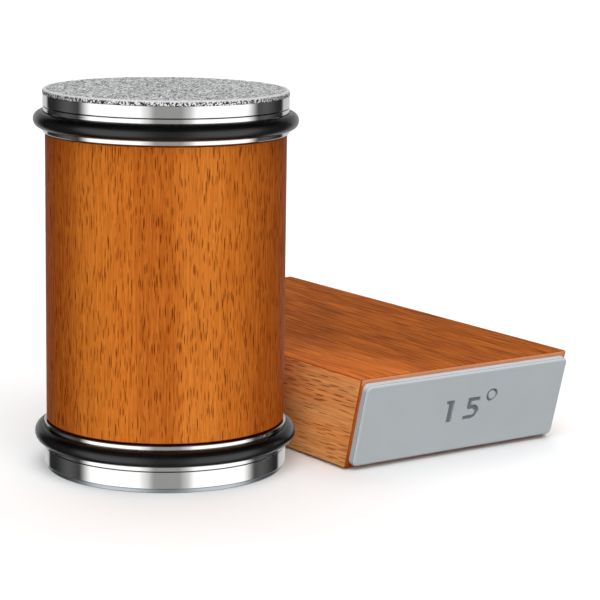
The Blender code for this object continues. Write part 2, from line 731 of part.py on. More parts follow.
def main():
    remove_everything()
    finishes = {
        "polished_steel": material("polished_steel", (0.72, 0.72, 0.71), 0.12, 1.0),
        "steel": material("steel", (0.55, 0.55, 0.56), 0.30, 1.0),
        "aluminium": material("aluminium", (0.68, 0.69, 0.70), 0.35, 1.0),
        "magnet": material("magnet", (0.60, 0.60, 0.58), 0.25, 1.0),
        "rubber": material("rubber", (0.010, 0.010, 0.011), 0.45),
        "cage": material("cage", (0.10, 0.10, 0.11), 0.5),
        "barrel_wood": material("barrel_wood", (0.55, 0.17, 0.025), 0.45),
        "block_wood": material("block_wood", (0.47, 0.14, 0.03), 0.45),
        "diamond_grit": material("diamond_grit", (0.45, 0.46, 0.46), 0.6, 0.4),
        "honing_steel": material("honing_steel", (0.38, 0.42, 0.46), 0.3, 0.9),
        "pad": material("pad", (0.37, 0.40, 0.42), 0.5),
        "mat": material("mat", (0.05, 0.05, 0.05), 0.8),
    }
    roller(finishes)
    angle_block(finishes)


main()
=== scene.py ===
"""Looks of the rolling knife sharpener set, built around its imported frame.

Fine pieces take the place of the frame's plain outer pieces, at the places and sizes that the
frame gives. The inner pieces stay as they are, and every piece gets a patterned finish.
"""

import json
from math import acos, cos, degrees, hypot, pi, radians, sin, tan

import bmesh
import bpy
import numpy as np
from mathutils import Matrix, Vector
from mathutils.geometry import delaunay_2d_cdt

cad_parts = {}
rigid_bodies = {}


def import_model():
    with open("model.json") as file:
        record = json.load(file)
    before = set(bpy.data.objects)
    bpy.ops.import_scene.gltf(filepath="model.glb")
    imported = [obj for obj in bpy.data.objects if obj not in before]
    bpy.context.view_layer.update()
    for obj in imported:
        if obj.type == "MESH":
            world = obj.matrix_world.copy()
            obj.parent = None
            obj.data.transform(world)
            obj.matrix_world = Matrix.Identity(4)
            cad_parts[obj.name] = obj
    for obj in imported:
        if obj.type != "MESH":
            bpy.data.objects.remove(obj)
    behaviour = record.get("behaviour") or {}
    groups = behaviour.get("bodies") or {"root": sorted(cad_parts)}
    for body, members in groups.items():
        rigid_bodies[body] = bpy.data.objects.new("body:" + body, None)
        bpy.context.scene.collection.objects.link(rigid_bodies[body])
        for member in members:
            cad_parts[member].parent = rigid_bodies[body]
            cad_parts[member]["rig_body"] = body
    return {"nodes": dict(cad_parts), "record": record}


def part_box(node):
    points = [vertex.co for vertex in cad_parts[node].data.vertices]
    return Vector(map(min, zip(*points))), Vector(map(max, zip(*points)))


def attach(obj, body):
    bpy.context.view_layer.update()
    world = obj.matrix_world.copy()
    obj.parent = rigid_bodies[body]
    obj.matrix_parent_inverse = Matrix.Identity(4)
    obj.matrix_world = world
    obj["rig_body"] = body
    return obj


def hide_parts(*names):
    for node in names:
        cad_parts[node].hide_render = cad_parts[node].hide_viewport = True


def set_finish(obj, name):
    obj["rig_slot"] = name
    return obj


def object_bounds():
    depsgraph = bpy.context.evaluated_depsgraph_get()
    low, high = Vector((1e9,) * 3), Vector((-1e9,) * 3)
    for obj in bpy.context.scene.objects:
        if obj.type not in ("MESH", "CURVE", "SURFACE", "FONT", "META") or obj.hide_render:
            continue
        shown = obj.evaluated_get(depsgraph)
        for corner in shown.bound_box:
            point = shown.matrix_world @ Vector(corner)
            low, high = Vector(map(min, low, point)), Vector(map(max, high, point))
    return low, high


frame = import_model()
cad_low, cad_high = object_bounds()

MM = 0.001
SEED = 7

# Camera
CAMERA_PLACE = (-0.27137, -0.41329, 0.122868)
CAMERA_HEADING = radians(35.27)
CAMERA_PITCH = radians(10.834)
CAMERA_ROLL = radians(0.861)
CAMERA_LENS = 136.55

# Studio
FLOOR_RADIUS = 6.0
FLOOR_DROP = 0.02 * MM
FLOOR_COLOUR = (0.9, 0.9, 0.9, 1.0)
WHITE = (1.0, 1.0, 1.0, 1.0)

# Lights and panels: azimuth and elevation from the camera's side, half width, softness, brightness
SOFT_LIGHTS = (
    (6.0, 32.0, 40.0, 12.0, 2.4),
    (0.0, 90.0, 38.0, 10.0, 0.9),
    (186.0, 35.0, 40.0, 12.0, 1.0),
)
PANELS = (
    (-46.0, 0.0, 31.5, 9.0, 1.5),
    (57.5, 0.0, 32.5, 9.0, 1.5),
    (-100.0, 0.0, 12.0, 14.0, 0.09),
    (108.0, 0.0, 12.0, 14.0, 0.09),
    (4.0, 0.0, 19.0, 4.0, 0.38),
    (180.0, 0.0, 38.0, 4.0, 0.66),
)
PANEL_BASE = 0.03

# Brightness of the empty studio, below and above a blended horizon
HORIZON = 0.05
UNDER_LEVEL = 0.15
AIR_LEVEL = 0.12

# Fading of the panels: from one height to another on a unit sphere, with their share at each
PANEL_CROWN = (0.02, 0.62, 1.0, 0.03)
PANEL_ROOT = (-0.98, -0.6, 0.25, 1.0)

# Segments
ROUND_STEPS = 192
GRIP_STEPS = 256
SMALL_STEPS = 96
CORD_STEPS = 32
GROOVE_STEPS = 24
FILLET_STEPS = 5
CORNER_STEPS = 8
WOOD_EDGE_STEPS = 6
MAT_EDGE_STEPS = 4
PAD_EDGE_STEP = 10
RIM_STEPS = 4
SKIRT_STEPS = 3
OUTER_BOWL_STEPS = 24
INNER_BOWL_STEPS = 20
OVAL_STEPS = 40
SMOOTH_ANGLE = 35
SUPPORT = 0.04 * MM
MERGE_DISTANCE = 1e-7

# Barrel wood, with pairs of colours from dark to light
# Front of the barrel, by its turn and the middle of its lit part; painted shade darkens the flanks
# away from it
FRONT_TURN = radians(35.0)
LIT_FRONT_MIDDLE = 1.2 * MM
BARREL_BANDS = ((0.51, 0.112, 0.011), (0.74, 0.200, 0.024))
# Painted shade on the barrel's flanks
BARREL_FLANK_SHADE = (0.36, 0.056, 0.003)
BARREL_STREAKS = ((0.20, 0.040, 0.004), (0.88, 0.31, 0.045))
BARREL_PORE = (0.11, 0.012, 0.001)

# Stripes across the barrel: place from its middle, strength, colour
BARREL_STRIPES = (
    (-0.5 * MM, 0.80, (0.43, 0.088, 0.008)),
    (8.0 * MM, 0.45, (0.72, 0.225, 0.034)),
    (-13.0 * MM, 0.40, (0.76, 0.220, 0.026)),
    (18.0 * MM, 0.15, (0.38, 0.075, 0.006)),
)

# Block wood, with colours for its top, long sides and sloped ends; the sides are partly their own
# tan and partly painted light
HEART_PLACE = 24.0 * MM
PORE_SLANT = 6.6
BLOCK_TOP = ((0.45, 0.096, 0.016), (0.70, 0.205, 0.042))
# The long sides' own tan, partly painted light
BLOCK_SIDE_TAN_AND_LIGHT = ((1.0, 0.36, 0.105), (1.0, 0.50, 0.180))
BLOCK_HEART = (0.20, 0.040, 0.0065)
# Painted shade on the top, darker towards its far end
BLOCK_FAR_SHADE = (0.165, 0.031, 0.002)
TOP_STREAKS = ((0.12, 0.022, 0.003), (0.78, 0.210, 0.020))
# Streaks on the long sides, their light tint partly painted light
SIDE_STREAKS_AND_LIGHT = ((0.34, 0.066, 0.012), (1.0, 0.43, 0.135))
TOP_PORE = (0.11, 0.022, 0.006)
SIDE_PORE = (0.24, 0.036, 0.005)
END_SHARE = 0.8
END_FOOT = (0.20, 0.032, 0.006)
END_MIDDLE = (0.46, 0.115, 0.022)
# Painted highlight along the top rim of the ends
END_RIM_HIGHLIGHT = (0.66, 0.31, 0.16)
END_FOOT_HEIGHTS = (1.0 * MM, 5.0 * MM)
END_HIGHLIGHT_HEIGHTS = (18.4 * MM, 19.2 * MM)
BLOCK_EDGE = (0.30, 0.050, 0.005)

# Finishes
NOISE_SPAN = (0.3, 0.7)
FACING_SPAN = (0.5, 0.9)
WOOD_RELIEF = 0.03 * MM
METAL_STAIN = 0.88
RUBBER_SPECULAR = 0.5
WOOD_SPECULAR = 0.012
PLASTIC_SPECULAR = 0.4

# Wheels, heights outward from the grip's side
WHEEL_TAPER = 0.15 * MM
WHEEL_BORE = 3.1 * MM
GROOVE_CLEARANCE = 0.1 * MM
WHEEL_POCKET_DEPTH = 2.2 * MM
MAGNET_POCKET_RADII = (9.4 * MM, 15.6 * MM)
HUB_RECESS_RADIUS = 6.8 * MM
WHEEL_FILLET = 0.08 * MM

# Discs
SPIGOT_RADII = (4.4 * MM, 6.6 * MM)
SPIGOT_LENGTH = 1.6 * MM
DISC_FILLET = 0.15 * MM

# Diamond grit
GRAIN_SPACING = 0.34 * MM
GRAIN_HEIGHT = 0.15 * MM
GRAIN_SCATTER = 0.3
FACE_BORDER = 0.6
RIM_SPACING = 0.2 * MM
RIM_GRAIN = 0.05 * MM
RIM_ROUND = 0.4 * MM
SKIRT_OUT = 0.05 * MM
SKIRT_DROP = 0.14 * MM
CRYSTAL_SIZE = 0.38 * MM
# The crystals' dark and bright tones: partly their own, partly painted shade and sparkle
CRYSTAL_TONE_AND_SPARKLE = ((0.06, 0.06, 0.06), (0.90, 0.91, 0.91))
CLUMP_SIZE = 0.9 * MM
SPECK_SIZE = 0.26 * MM
# Painted shade and sparkle of the grit seen edge-on below the rim
SPECK_SHADE_AND_SPARKLE = ((0.02, 0.02, 0.02), (0.85, 0.85, 0.85))
# Painted highlight on the grit's rounded rim
RIM_HIGHLIGHT = (0.93, 0.94, 0.95)

# How far the grit's points stray below the flat face, in shares of RIM_GRAIN
RIM_STRAY = 0.3
SKIRT_STRAY = 1.0
FRINGE_STRAY = 1.6

# Wheel screws
SCREW_HEAD_RADIUS = 3.6 * MM
SCREW_HEAD_HEIGHT = 1.8 * MM
SCREW_SOCKET_RADIUS = 1.45 * MM
SCREW_SOCKET_DEPTH = 1.1 * MM
SCREW_RADIUS = 2.0 * MM

# Grip
GRIP_BORE = 13.05 * MM
GRIP_FILLET = 0.2 * MM

# Angle block
WOOD_EDGE = 0.5 * MM
POCKET_GAP = 0.2 * MM
MAT_CORNER = 3.0 * MM
MAT_EDGE = 0.25 * MM
RIB_PITCH = 2.0 * MM
RIB_GROOVE_WIDTH = 0.9 * MM
RIB_GROOVE_DEPTH = 0.45 * MM
FRONT_ANGLE = radians(15)
REAR_ANGLE = radians(20)
POCKET_SIZE = (44.0 * MM, 5.6 * MM, 12.0 * MM)
PAD_GAP = 0.1 * MM
PAD_PROUD = 1.6 * MM
PAD_SIDE_BORDER = 0.65 * MM
PAD_TOP_BORDER = 1.0 * MM
PAD_BOTTOM_BORDER = 0.95 * MM
PAD_EDGE = 0.6 * MM
PAD_CORNER = 1.3 * MM

# Angle marks, from the middle of a face, with their digits drawn in millimetres
MARK_DEPTH = 0.35 * MM
MARK_BOTTOM = -2.2 * MM
DIGIT_TOP = 5.25
MARK_HEIGHT = DIGIT_TOP * MM
ZERO_HALF_WIDTH = 1.95 * MM
ZERO_STROKE = 0.95 * MM
FIRST_DIGIT_LEFT = -4.9 * MM
SECOND_DIGIT_LEFT = 0.2 * MM
DEGREE_PLACE = (7.25 * MM, 3.0 * MM)
DEGREE_RADII = (1.5 * MM, 0.95 * MM)
MARK_TOLERANCE = 0.02 * MM
MARK_FLOOR_LOOK = ((0.16, 0.18, 0.19), 0.5, 0.12 * MM, 0.004 * MM)

SLOTS = {part["node"]: part["material_slot"] for part in frame["record"]["subparts"]}
grip_low, grip_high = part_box("grip_barrel")
AXIS = (grip_low + grip_high) / 2
AXIS.z = 0.0


# ---- Mesh helpers --------------------------------------------------------------------------


def mesh_piece(solid, name, smooth_angle=SMOOTH_ANGLE):
    """Turns a bmesh into an object, smooth except at its sharp edges."""
    bmesh.ops.recalc_face_normals(solid, faces=solid.faces)
    mesh = bpy.data.meshes.new(name)
    solid.to_mesh(mesh)
    solid.free()
    if smooth_angle:
        mesh.shade_smooth()
        mesh.set_sharp_from_angle(angle=radians(smooth_angle))
    piece = bpy.data.objects.new(name, mesh)
    bpy.context.collection.objects.link(piece)
    return piece


def arc(centre, radius, start, end, steps):
    """Points on an arc from one angle to another, in degrees, both ends included."""
    angles = [radians(start + (end - start) * step / steps) for step in range(steps + 1)]
    return [(centre[0] + radius * cos(a), centre[1] + radius * sin(a)) for a in angles]


def filleted(corners):
    """Outline through (x, y, radius) corners, each rounded by its radius."""
    outline = []
    for index, (x, y, radius) in enumerate(corners):
        here = Vector((x, y))
        if not radius:
            outline.append(here)
            continue
        back = (Vector(corners[index - 1][:2]) - here).normalized()
        ahead = (Vector(corners[(index + 1) % len(corners)][:2]) - here).normalized()
        half = back.angle(ahead) / 2
        centre = here + (back + ahead).normalized() * radius / sin(half)
        first = (here + back * radius / tan(half) - centre).normalized()
        last = (here + ahead * radius / tan(half) - centre).normalized()
        for step in range(FILLET_STEPS + 1):
            share = step / FILLET_STEPS
            outline.append(centre + first.lerp(last, share).normalized() * radius)
    return outline


def supported(outline, closed):
    """Adds points near the ends of long straight runs, so that flat faces stay flat."""
    made = []
    pairs = list(zip(outline, outline[1:] + outline[:1]))
    for start, end in pairs if closed else pairs[:-1]:
        start, end = Vector(start), Vector(end)
        made.append(start)
        length = (end - start).length
        if length > 6 * SUPPORT:
            step = (end - start) * (SUPPORT / length)
            made += [start + step, end - step]
    return made if closed else made + [Vector(outline[-1])]


def turned(name, outline, steps=ROUND_STEPS):
    """Piece turned about the roller's axis from (radius, height) points.

    The points form a loop, or start and end on the axis.
    """
    closed = outline[0][0] > 0.0
    solid = bmesh.new()
    profile = supported(outline, closed)
    points = [solid.verts.new((radius, 0.0, height)) for radius, height in profile]
    edges = [solid.edges.new(pair) for pair in zip(points, points[1:])]
    if closed:
        edges.append(solid.edges.new((points[-1], points[0])))
    bmesh.ops.spin(
        solid,
        geom=points + edges,
        cent=(0.0, 0.0, 0.0),
        axis=(0.0, 0.0, 1.0),
        angle=2 * pi,
        steps=steps,
        use_merge=True,
    )
    bmesh.ops.remove_doubles(solid, verts=solid.verts, dist=MERGE_DISTANCE)
    bmesh.ops.translate(solid, verts=solid.verts, vec=AXIS)
    return mesh_piece(solid, name)


def add_stack(solid, loops):
    """Adds a closed body through a row of matching closed loops, capped at both ends."""
    rings = [[solid.verts.new(point) for point in loop] for loop in loops]
    for low, high in zip(rings, rings[1:]):
        for index, corner in enumerate(low):
            following = (index + 1) % len(low)
            solid.faces.new((corner, low[following], high[following], high[index]))
    solid.faces.new(rings[0])
    solid.faces.new(rings[-1])


def add_box(solid, low, high):
    """Adds a box from its lowest corner to its highest."""
    outline = [(low[0], low[1]), (high[0], low[1]), (high[0], high[1]), (low[0], high[1])]
    add_stack(solid, [[(x, y, z) for x, y in outline] for z in (low[2], high[2])])


def rounded_outline(width, height, corner, steps):
    """Round-cornered rectangle about the origin, counterclockwise."""
    across = width / 2 - corner
    up = height / 2 - corner
    outline = []
    for quarter, (side, level) in enumerate(((1, 1), (-1, 1), (-1, -1), (1, -1))):
        start = 90 * quarter
        outline += arc((side * across, level * up), corner, start, start + 90, steps)
    return outline


def applied(piece, cutters):
    """Takes the cutters out of a piece and fixes its shape, so that no cutter is left."""
    for cutter in cutters:
        boolean = piece.modifiers.new(cutter.name, "BOOLEAN")
        boolean.operation = "DIFFERENCE"
        boolean.solver = "EXACT"
        boolean.object = cutter
    shape = piece.evaluated_get(bpy.context.evaluated_depsgraph_get())
    mesh = bpy.data.meshes.new_from_object(shape)
    piece.modifiers.clear()
    piece.data = mesh
    for cutter in cutters:
        bpy.data.objects.remove(cutter)
    mesh.shade_smooth()
    mesh.set_sharp_from_angle(angle=radians(SMOOTH_ANGLE))
    weighted = piece.modifiers.new("flat_faces_stay_flat", "WEIGHTED_NORMAL")
    weighted.keep_sharp = True
    return piece


def stand_in(piece, node):
    """Shows the piece in a CAD node's place, on the same body and with the same slot."""
    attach(piece, frame["nodes"][node]["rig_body"])
    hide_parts(node)
    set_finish(piece, SLOTS[node])
    return piece


def end_heights(end, node):
    """Turns heights measured outward from the grip into world heights, for one end's node."""
    low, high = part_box(node)
    if end == "diamond":
        return lambda height: low.z + height
    return lambda height: high.z - height


# ---- Roller --------------------------------------------------------------------------------


def wheel(end):
    """Grooved wheel with a tapered inner rim, a magnet pocket and a hub recess."""
    node = f"{end}_end_wheel"
    low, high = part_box(node)
    ring_low, ring_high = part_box(f"{end}_end_o_ring")
    rise = end_heights(end, node)
    radius = (high.x - low.x) / 2
    width = high.z - low.z
    cord = (ring_high.z - ring_low.z) / 2
    groove = cord + GROOVE_CLEARANCE
    groove_centre = (ring_high.x - ring_low.x) / 2 - cord
    mouth = degrees(acos((radius - groove_centre) / groove))
    floor = width - WHEEL_POCKET_DEPTH
    pocket_in, pocket_out = MAGNET_POCKET_RADII
    groove_arc = arc((groove_centre, width / 2), groove, 360 - mouth, mouth, GROOVE_STEPS)
    corners = [
        (WHEEL_BORE, 0.0, WHEEL_FILLET),
        (radius - WHEEL_TAPER, 0.0, WHEEL_FILLET),
        (radius, WHEEL_TAPER, WHEEL_FILLET),
        *[(*point, 0.0) for point in groove_arc],
        (radius, width, WHEEL_FILLET),
        (pocket_out, width, WHEEL_FILLET),
        (pocket_out, floor, WHEEL_FILLET),
        (pocket_in, floor, WHEEL_FILLET),
        (pocket_in, width, WHEEL_FILLET),
        (HUB_RECESS_RADIUS, width, WHEEL_FILLET),
        (HUB_RECESS_RADIUS, floor, WHEEL_FILLET),
        (WHEEL_BORE, floor, WHEEL_FILLET),
    ]
    outline = [(r, rise(height)) for r, height in filleted(corners)]
    return stand_in(turned(f"{node}_turned", outline), node)


def o_ring(end):
    """Rubber tyre of round section."""
    node = f"{end}_end_o_ring"
    low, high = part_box(node)
    cord = (high.z - low.z) / 2
    centre = ((high.x - low.x) / 2 - cord, (high.z + low.z) / 2)
    outline = arc(centre, cord, 0, 360, CORD_STEPS)[:-1]
    return stand_in(turned(f"{node}_tyre", outline), node)


def ring_magnet(end):
    """Flat ring that fills the wheel's pocket but for a small gap."""
    node = f"{end}_end_ring_magnet"
    low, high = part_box(node)
    outer = (high.x - low.x) / 2
    inner = outer - (MAGNET_POCKET_RADII[1] - MAGNET_POCKET_RADII[0]) + 2 * POCKET_GAP
    corners = [(inner, low.z), (outer, low.z), (outer, high.z), (inner, high.z)]
    outline = filleted([(*corner, DISC_FILLET) for corner in corners])
    return stand_in(turned(f"{node}_plated", outline), node)


def wheel_screw(end):
    """Cap screw with a rounded head and a hexagon socket."""
    node = f"{end}_end_wheel_screw"
    low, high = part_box(node)
    length = high.z - low.z
    rise = end_heights(end, node)
    head = length - SCREW_HEAD_HEIGHT
    corners = [
        (0.0, 0.0, 0.0),
        (SCREW_RADIUS, 0.0, DISC_FILLET),
        (SCREW_RADIUS, head, DISC_FILLET),
        (SCREW_HEAD_RADIUS, head, DISC_FILLET),
        (SCREW_HEAD_RADIUS, length, 2 * DISC_FILLET),
        (0.0, length, 0.0),
    ]
    outline = [(r, rise(height)) for r, height in filleted(corners)]
    screw = turned(f"{node}_cap", outline, SMALL_STEPS)
    socket = bmesh.new()
    hexagon = arc((AXIS.x, AXIS.y), SCREW_SOCKET_RADIUS, 0, 360, 6)[:-1]
    levels = (rise(length - SCREW_SOCKET_DEPTH), rise(length + SCREW_SOCKET_DEPTH))
    add_stack(socket, [[(x, y, level) for x, y in hexagon] for level in levels])
    return stand_in(applied(screw, [mesh_piece(socket, f"{node}_socket", None)]), node)


def carrier(end):
    """Polished disc with a spigot towards the wheel."""
    node = f"{end}_carrier"
    low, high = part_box(node)
    radius = (high.x - low.x) / 2
    rise = end_heights(end, node)
    height = high.z - low.z
    spigot_in, spigot_out = SPIGOT_RADII
    corners = [
        (0.0, SPIGOT_LENGTH, 0.0),
        (spigot_in, SPIGOT_LENGTH, DISC_FILLET),
        (spigot_in, 0.0, DISC_FILLET),
        (spigot_out, 0.0, DISC_FILLET),
        (spigot_out, SPIGOT_LENGTH, DISC_FILLET),
        (radius, SPIGOT_LENGTH, DISC_FILLET),
        (radius, height, DISC_FILLET),
        (0.0, height, 0.0),
    ]
    outline = [(r, rise(level)) for r, level in filleted(corners)]
    return stand_in(turned(f"{node}_polished", outline), node)


def honing_plate():
    """Thin plate that the roller stands on."""
    low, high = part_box("honing_plate")
    radius = (high.x - low.x) / 2
    corners = [
        (0.0, low.z, 0.0),
        (radius, low.z, DISC_FILLET),
        (radius, high.z, DISC_FILLET / 2),
        (0.0, high.z, 0.0),
    ]
    return stand_in(turned("honing_plate_ground", filleted(corners)), "honing_plate")


def grip_barrel():
    """Wood sleeve with rounded ends."""
    radius = (grip_high.x - grip_low.x) / 2
    corners = [
        (GRIP_BORE, grip_low.z, GRIP_FILLET),
        (radius, grip_low.z, GRIP_FILLET),
        (radius, grip_high.z, GRIP_FILLET),
        (GRIP_BORE, grip_high.z, GRIP_FILLET),
    ]
    return stand_in(turned("grip_barrel_wood", filleted(corners), GRIP_STEPS), "grip_barrel")


def grit_points(radius, chance):
    """Scattered grain places inside a circle, about evenly far apart."""
    rows = int(radius / GRAIN_SPACING) + 1
    places = []
    for row in range(-rows, rows + 1):
        for column in range(-rows, rows + 1):
            x = (column + 0.5 * (row % 2)) * GRAIN_SPACING
            y = row * GRAIN_SPACING * sin(radians(60))
            x += chance.uniform(-GRAIN_SCATTER, GRAIN_SCATTER) * GRAIN_SPACING
            y += chance.uniform(-GRAIN_SCATTER, GRAIN_SCATTER) * GRAIN_SPACING
            if hypot(x, y) < radius - FACE_BORDER * GRAIN_SPACING:
                places.append((x, y))
    return places


def grit_face(solid, turns, radius, top, chance):
    """Adds a face of crystals inside a smooth circle, and gives back the circle's points."""
    places = [(radius * cos(turn), radius * sin(turn)) for turn in turns]
    places += grit_points(radius, chance)
    flat = [Vector(place) for place in places]
    points, _, faces, *_ = delaunay_2d_cdt(flat, [], [], 0, MERGE_DISTANCE)
    verts = []
    for index, point in enumerate(points):
        depth = 0.0 if index < len(turns) else chance.uniform(0.0, GRAIN_HEIGHT)
        verts.append(solid.verts.new((point.x, point.y, top - depth)))
    for face in faces:
        solid.faces.new([verts[corner] for corner in face])
    return verts[:len(turns)]


def rough_ring(solid, turns, radius, height, stray, chance):
    """Ring of points at a radius and a height, each pushed inwards and up or down."""
    ring = []
    for turn in turns:
        out = radius - min(stray, 1.0) * chance.uniform(0.0, RIM_GRAIN)
        lift = height + stray * chance.uniform(-1.0, 1.0) * RIM_GRAIN
        ring.append(solid.verts.new((out * cos(turn), out * sin(turn), lift)))
    return ring


def smooth_ring(solid, turns, radius, height):
    """Ring of points at a radius and a height."""
    return [solid.verts.new((radius * cos(turn), radius * sin(turn), height)) for turn in turns]


def diamond_plate():
    """Grit-faced plate: crystals over its top, its rounded rim and a ragged skirt below."""
    low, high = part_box("diamond_plate")
    chance = np.random.default_rng(SEED)
    radius = (high.x - low.x) / 2
    flat = radius - RIM_ROUND
    rim_low = high.z - RIM_ROUND
    around = int(2 * pi * flat / RIM_SPACING)
    turns = [2 * pi * step / around for step in range(around)]
    rim = arc((flat, rim_low), RIM_ROUND, 90, 0, RIM_STEPS)[1:]
    skirt = radius + SKIRT_OUT
    rows = [(*point, RIM_STRAY) for point in rim]
    levels = np.linspace(rim_low, low.z, SKIRT_STEPS + 1)[1:]
    rows += [(skirt, level, SKIRT_STRAY) for level in levels]
    rows.append((skirt, low.z - SKIRT_DROP, FRINGE_STRAY))
    solid = bmesh.new()
    rings = [grit_face(solid, turns, flat, high.z, chance)]
    rings += [rough_ring(solid, turns, *row, chance) for row in rows]
    rings += [smooth_ring(solid, turns, radius, z) for z in (low.z - SKIRT_DROP / 2, low.z)]
    for upper, lower in zip(rings, rings[1:]):
        for index in range(around):
            following = (index + 1) % around
            solid.faces.new((upper[index], upper[following], lower[following], lower[index]))
    solid.faces.new(rings[-1])
    bmesh.ops.triangulate(solid, faces=[f for f in solid.faces if len(f.verts) == 4])
    bmesh.ops.translate(solid, verts=solid.verts, vec=AXIS)
    piece = mesh_piece(solid, "diamond_plate_grit", smooth_angle=None)
    return stand_in(piece, "diamond_plate")


# ---- Angle block ---------------------------------------------------------------------------


def face_frame(end_angle):
    """Middle of a sloped wood face, and the frame whose -Y points out of it and +Z up it."""
    low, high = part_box("angle_block")
    height = high.z - low.z
    lean = height * tan(end_angle) / 2
    middle = Vector(((low.x + high.x) / 2, 0.0, (low.z + high.z) / 2))
    if end_angle == FRONT_ANGLE:
        middle.y = low.y + lean
        turn = Matrix.Rotation(end_angle, 4, "X")
    else:
        middle.y = high.y - lean
        turn = Matrix.Rotation(pi, 4, "Z") @ Matrix.Rotation(end_angle, 4, "X")
    return Matrix.Translation(middle) @ turn


def placed(solid, end_angle):
    """Moves a shape from the origin onto a sloped face."""
    bmesh.ops.transform(solid, matrix=face_frame(end_angle), verts=solid.verts)
    return solid


def mat_loops(grown, heights):
    """The mat's outline, grown by a little, at each of these heights."""
    low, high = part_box("base_mat")
    middle = (low + high) / 2
    width = high.x - low.x + 2 * grown
    length = high.y - low.y + 2 * grown
    outline = rounded_outline(width, length, MAT_CORNER + grown, CORNER_STEPS)
    return [[(middle.x + x, middle.y + y, height) for x, y in outline] for height in heights]


def angle_block():
    """Wood body with rounded edges, magnet pockets and a recess for the mat."""
    low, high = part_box("angle_block")
    height = high.z - low.z
    side = [
        (low.y, high.z),
        (low.y + height * tan(FRONT_ANGLE), low.z),
        (high.y - height * tan(REAR_ANGLE), low.z),
        (high.y, high.z),
    ]
    solid = bmesh.new()
    add_stack(solid, [[(x, y, z) for y, z in side] for x in (low.x, high.x)])
    block = mesh_piece(solid, "angle_block_wood", None)
    bevel = block.modifiers.new("rounded_edges", "BEVEL")
    bevel.width = WOOD_EDGE
    bevel.segments = WOOD_EDGE_STEPS
    cutters = []
    across, depth, up = (size / 2 for size in POCKET_SIZE)
    for end_angle in (FRONT_ANGLE, REAR_ANGLE):
        pocket = bmesh.new()
        add_box(pocket, (-across, -depth, -up), (across, 2 * depth, up))
        cutters.append(mesh_piece(placed(pocket, end_angle), "pocket_cutter", None))
    recess = bmesh.new()
    _, mat_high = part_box("base_mat")
    add_stack(recess, mat_loops(POCKET_GAP, (low.z - MM, mat_high.z + POCKET_GAP)))
    cutters.append(mesh_piece(recess, "mat_recess_cutter", None))
    return stand_in(applied(block, cutters), "angle_block")


def digit_one():
    """Outline of a 1, in millimetres from its foot, as the other digits' are."""
    foot = [(0.7, 0.0), (2.1, 0.0)]
    return foot + [(2.1, DIGIT_TOP), (0.0, DIGIT_TOP), (0.0, 4.35), (0.7, 4.35)]


def digit_five():
    centre = (2.35, 1.75)
    outline = [(0.72, DIGIT_TOP), (4.0, DIGIT_TOP), (4.0, 4.2), (1.75, 4.2), (1.75, 3.39)]
    outline += arc(centre, 1.75, 107, -98, OUTER_BOWL_STEPS)
    outline += [(0.05, 0.12), (0.0, 1.05)]
    outline += arc(centre, 0.65, -98, 125, INNER_BOWL_STEPS)
    return outline + [(0.72, 2.6)]


def digit_two():
    centre = (1.95, 3.5)
    outline = [(0.0, 0.0), (3.9, 0.0), (3.9, 0.9), (1.55, 0.9)]
    outline += arc(centre, 1.75, -42, 172, OUTER_BOWL_STEPS)
    outline += arc(centre, 0.78, 172, -42, INNER_BOWL_STEPS)
    return outline + [(0.0, 0.95)]


def oval(centre, across, up):
    """Oval outline from its half width and half height."""
    turns = [2 * pi * step / OVAL_STEPS for step in range(OVAL_STEPS)]
    return [(centre[0] + across * cos(turn), centre[1] + up * sin(turn)) for turn in turns]


def add_ring_prism(solid, outer, inner, levels):
    """Adds a prism with a hole, from two outlines with the same number of points."""
    low, high = levels
    loops = []
    for outline, level in ((outer, low), (outer, high), (inner, high), (inner, low)):
        loops.append([solid.verts.new((x, level, z)) for x, z in outline])
    for first, second in zip(loops, loops[1:] + loops[:1]):
        for index, corner in enumerate(first):
            following = (index + 1) % len(first)
            solid.faces.new((corner, first[following], second[following], second[index]))


def mark_cutter(digits, end_angle):
    """Two digits and a degree sign, standing through a pad's face."""
    levels = (-PAD_PROUD - MM, MARK_DEPTH - PAD_PROUD)
    shapes = {"1": digit_one, "2": digit_two, "5": digit_five}
    solid = bmesh.new()
    for digit, left in zip(digits, (FIRST_DIGIT_LEFT, SECOND_DIGIT_LEFT)):
        if digit == "0":
            centre = (left + ZERO_HALF_WIDTH, MARK_BOTTOM + MARK_HEIGHT / 2)
            outer = oval(centre, ZERO_HALF_WIDTH, MARK_HEIGHT / 2)
            inner = oval(centre, ZERO_HALF_WIDTH - ZERO_STROKE, MARK_HEIGHT / 2 - ZERO_STROKE)
            add_ring_prism(solid, outer, inner, levels)
            continue
        outline = [(left + x * MM, MARK_BOTTOM + z * MM) for x, z in shapes[digit]()]
        add_stack(solid, [[(x, level, z) for x, z in outline] for level in levels])
    outer, inner = (oval(DEGREE_PLACE, radius, radius) for radius in DEGREE_RADII)
    add_ring_prism(solid, outer, inner, levels)
    return mesh_piece(placed(solid, end_angle), f"mark_{digits}_cutter", None)


